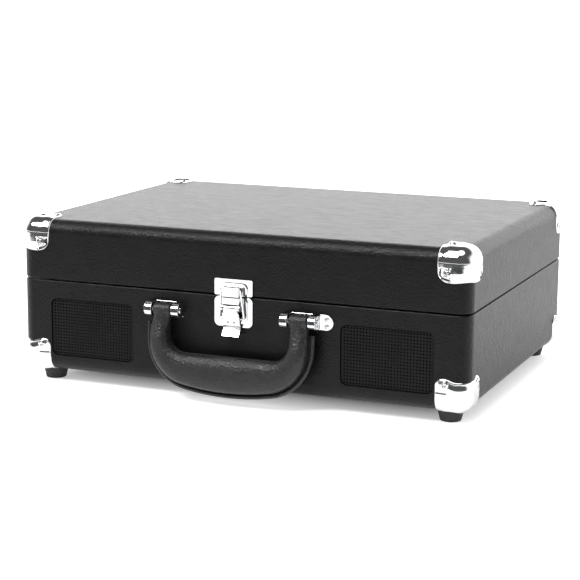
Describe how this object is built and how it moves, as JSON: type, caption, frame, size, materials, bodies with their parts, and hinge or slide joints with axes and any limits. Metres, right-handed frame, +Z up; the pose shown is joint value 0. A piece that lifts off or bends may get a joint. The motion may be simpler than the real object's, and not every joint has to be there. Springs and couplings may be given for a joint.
{
  "type": "suitcase record player",
  "caption": "Black hinged carrying case on feet with chrome corners, draw latch and handle, holding a belt-drive turntable with tonearm, controls and stereo speakers.",
  "frame": {"origin": "on the surface it stands on, under the middle of the whole outline (handle and hinges included)", "axes": "+Z up through the lid, +X to the owner's right, -Y towards the latch and handle"},
  "size_m": [0.3596, 0.291, 0.1275],
  "materials": {
    "leatherette": "black pebble-grain leatherette over wood board, low sheen",
    "board": "plain fibreboard",
    "rubber_black": "matte black rubber",
    "steel": "zinc plated",
    "brushed_steel": "brushed, lightly oiled",
    "chrome": "bright nickel-chrome plating on pressed steel",
    "grille_black": "perforated sheet, satin black paint",
    "steel_black": "black painted steel",
    "cone_paper": "pressed black paper",
    "magnet": "dark ferrite",
    "lining": "black printed paper lining, fine linen emboss",
    "handle_plastic": "soft black moulding with a leather grain",
    "deck_black": "fine spark-textured black moulding",
    "brass": "turned brass",
    "platter_plastic": "satin black moulding",
    "mat_felt": "short-nap felt",
    "rubber_belt": "smooth ground rubber",
    "gloss_black": "glossy black moulding",
    "stylus_red": "translucent red cartridge moulding",
    "knob_black": "satin black moulding with fluted rim",
    "jack_black": "black socket moulding",
    "led": "red tinted lens",
    "brass_plated": "gold-flash plated shell",
    "circuit_board": "green solder mask"
  },
  "bodies": {
    "case_base": {"base_shell": "leatherette", "service_cover": "board", "feet": "rubber_black", "bottom_screws": "steel", "base_corner_protectors": "chrome", "base_protector_screws": "chrome", "speaker_grilles": "grille_black", "speaker_baskets": "steel_black", "speaker_cones": "cone_paper", "speaker_magnets": "magnet", "hinge_base_leaves": "chrome", "hinge_pins": "steel", "hinge_base_screws": "chrome", "stay_base_pin": "brushed_steel", "handle_brackets": "chrome", "bracket_rivets": "chrome", "handle_pins": "chrome", "latch_base_plate": "chrome", "latch_pin": "steel", "deck_plate": "deck_black", "deck_screws": "steel_black", "platter_bearing": "brass", "spindle": "chrome", "motor": "steel", "drive_belt": "rubber_belt", "tonearm_base": "gloss_black", "tonearm_rest": "gloss_black", "jack_sockets": "jack_black", "power_led": "led", "rear_panel": "gloss_black", "rca_jacks": "brass_plated", "dc_jack": "jack_black", "main_board": "circuit_board"},
    "lid": {"lid_shell": "leatherette", "lid_lining": "lining", "lid_corner_protectors": "chrome", "lid_protector_screws": "chrome", "hinge_lid_leaves": "chrome", "hinge_lid_screws": "chrome", "stay_lid_pin": "brushed_steel", "latch_keeper": "chrome"},
    "lid_stay": {"lid_stay": "brushed_steel"},
    "handle": {"handle_grip": "handle_plastic", "handle_back": "handle_plastic"},
    "latch_lever": {"latch_lever": "chrome"},
    "latch_bail": {"latch_bail": "chrome"},
    "platter": {"platter": "platter_plastic", "platter_mat": "mat_felt"},
    "motor_pulley": {"motor_pulley": "brass"},
    "tonearm_yoke": {"tonearm_yoke": "gloss_black"},
    "tonearm": {"tonearm_tube": "gloss_black", "headshell": "gloss_black", "stylus": "stylus_red"},
    "tonearm_clip": {"tonearm_clip": "gloss_black"},
    "cue_lever": {"cue_lever": "gloss_black"},
    "volume_knob": {"volume_knob": "knob_black"},
    "selector_knob": {"selector_knob": "knob_black"},
    "speed_switch": {"speed_switch": "knob_black"},
    "stop_switch": {"stop_switch": "knob_black"},
    "single_adapter": {"single_adapter": "gloss_black"}
  },
  "joints": [
    {"name": "lid_hinge", "type": "hinge", "parent": "case_base", "child": "lid", "pos_m": [0, 0.14212, 0.0797], "axis": [-1, 0, 0], "range_deg": [0, 90]},
    {"name": "lid_stay_turn", "type": "hinge", "parent": "case_base", "child": "lid_stay", "pos_m": [0.16175, 0.12042, 0.0733], "axis": [-1, 0, 0], "range_deg": [0, 45]},
    {"name": "handle_swing", "type": "hinge", "parent": "case_base", "child": "handle", "pos_m": [0, -0.13018, 0.0666], "axis": [-1, 0, 0], "range_deg": [0, 100]},
    {"name": "latch_lever_turn", "type": "hinge", "parent": "case_base", "child": "latch_lever", "pos_m": [0, -0.12898, 0.0717], "axis": [-1, 0, 0], "range_deg": [0, 100]},
    {"name": "latch_bail_turn", "type": "hinge", "parent": "latch_lever", "child": "latch_bail", "pos_m": [0, -0.12738, 0.0635], "axis": [-1, 0, 0], "range_deg": [-100, 0]},
    {"name": "platter_spin", "type": "hinge", "parent": "case_base", "child": "platter", "pos_m": [-0.04, 0.01152, 0.075], "axis": [0, 0, -1], "continuous": true},
    {"name": "motor_spin", "type": "hinge", "parent": "case_base", "child": "motor_pulley", "pos_m": [-0.095, 0.06652, 0.07], "axis": [0, 0, -1], "continuous": true},
    {"name": "tonearm_swing", "type": "hinge", "parent": "case_base", "child": "tonearm_yoke", "pos_m": [0.122, 0.08552, 0.085], "axis": [0, 0, -1], "range_deg": [0, 45]},
    {"name": "tonearm_lift", "type": "hinge", "parent": "tonearm_yoke", "child": "tonearm", "pos_m": [0.122, 0.08552, 0.092], "axis": [-1, 0, 0], "range_deg": [0, 7]},
    {"name": "cue_lift", "type": "hinge", "parent": "case_base", "child": "cue_lever", "pos_m": [0.151, 0.07552, 0.0745], "axis": [-1, 0, 0], "range_deg": [0, 45]},
    {"name": "clip_turn", "type": "hinge", "parent": "case_base", "child": "tonearm_clip", "pos_m": [0.1302, -0.03448, 0.0914], "axis": [0, -1, 0], "range_deg": [0, 75]},
    {"name": "volume_turn", "type": "hinge", "parent": "case_base", "child": "volume_knob", "pos_m": [0.152, -0.09048, 0.07], "axis": [0, 0, -1], "range_deg": [0, 280]},
    {"name": "selector_turn", "type": "hinge", "parent": "case_base", "child": "selector_knob", "pos_m": [0.152, -0.05848, 0.07], "axis": [0, 0, -1], "range_deg": [0, 80]},
    {"name": "speed_slide", "type": "slide", "parent": "case_base", "child": "speed_switch", "axis": [0, 1, 0], "range_m": [0, 0.016]},
    {"name": "stop_slide", "type": "slide", "parent": "case_base", "child": "stop_switch", "axis": [0, 1, 0], "range_m": [0, 0.007]},
    {"name": "adapter_lift", "type": "slide", "parent": "case_base", "child": "single_adapter", "axis": [0, 0, 1], "range_m": [0, 0.035]}
  ],
  "couplings": [
    {"joint": "lid_stay_turn", "follows": "lid_hinge", "ratio": 0.5},
    {"joint": "latch_bail_turn", "follows": "latch_lever_turn", "ratio": -1},
    {"joint": "motor_spin", "follows": "platter_spin", "ratio": 11.364},
    {"joint": "cue_lift", "follows": "tonearm_lift", "ratio": 6.4286}
  ]
}
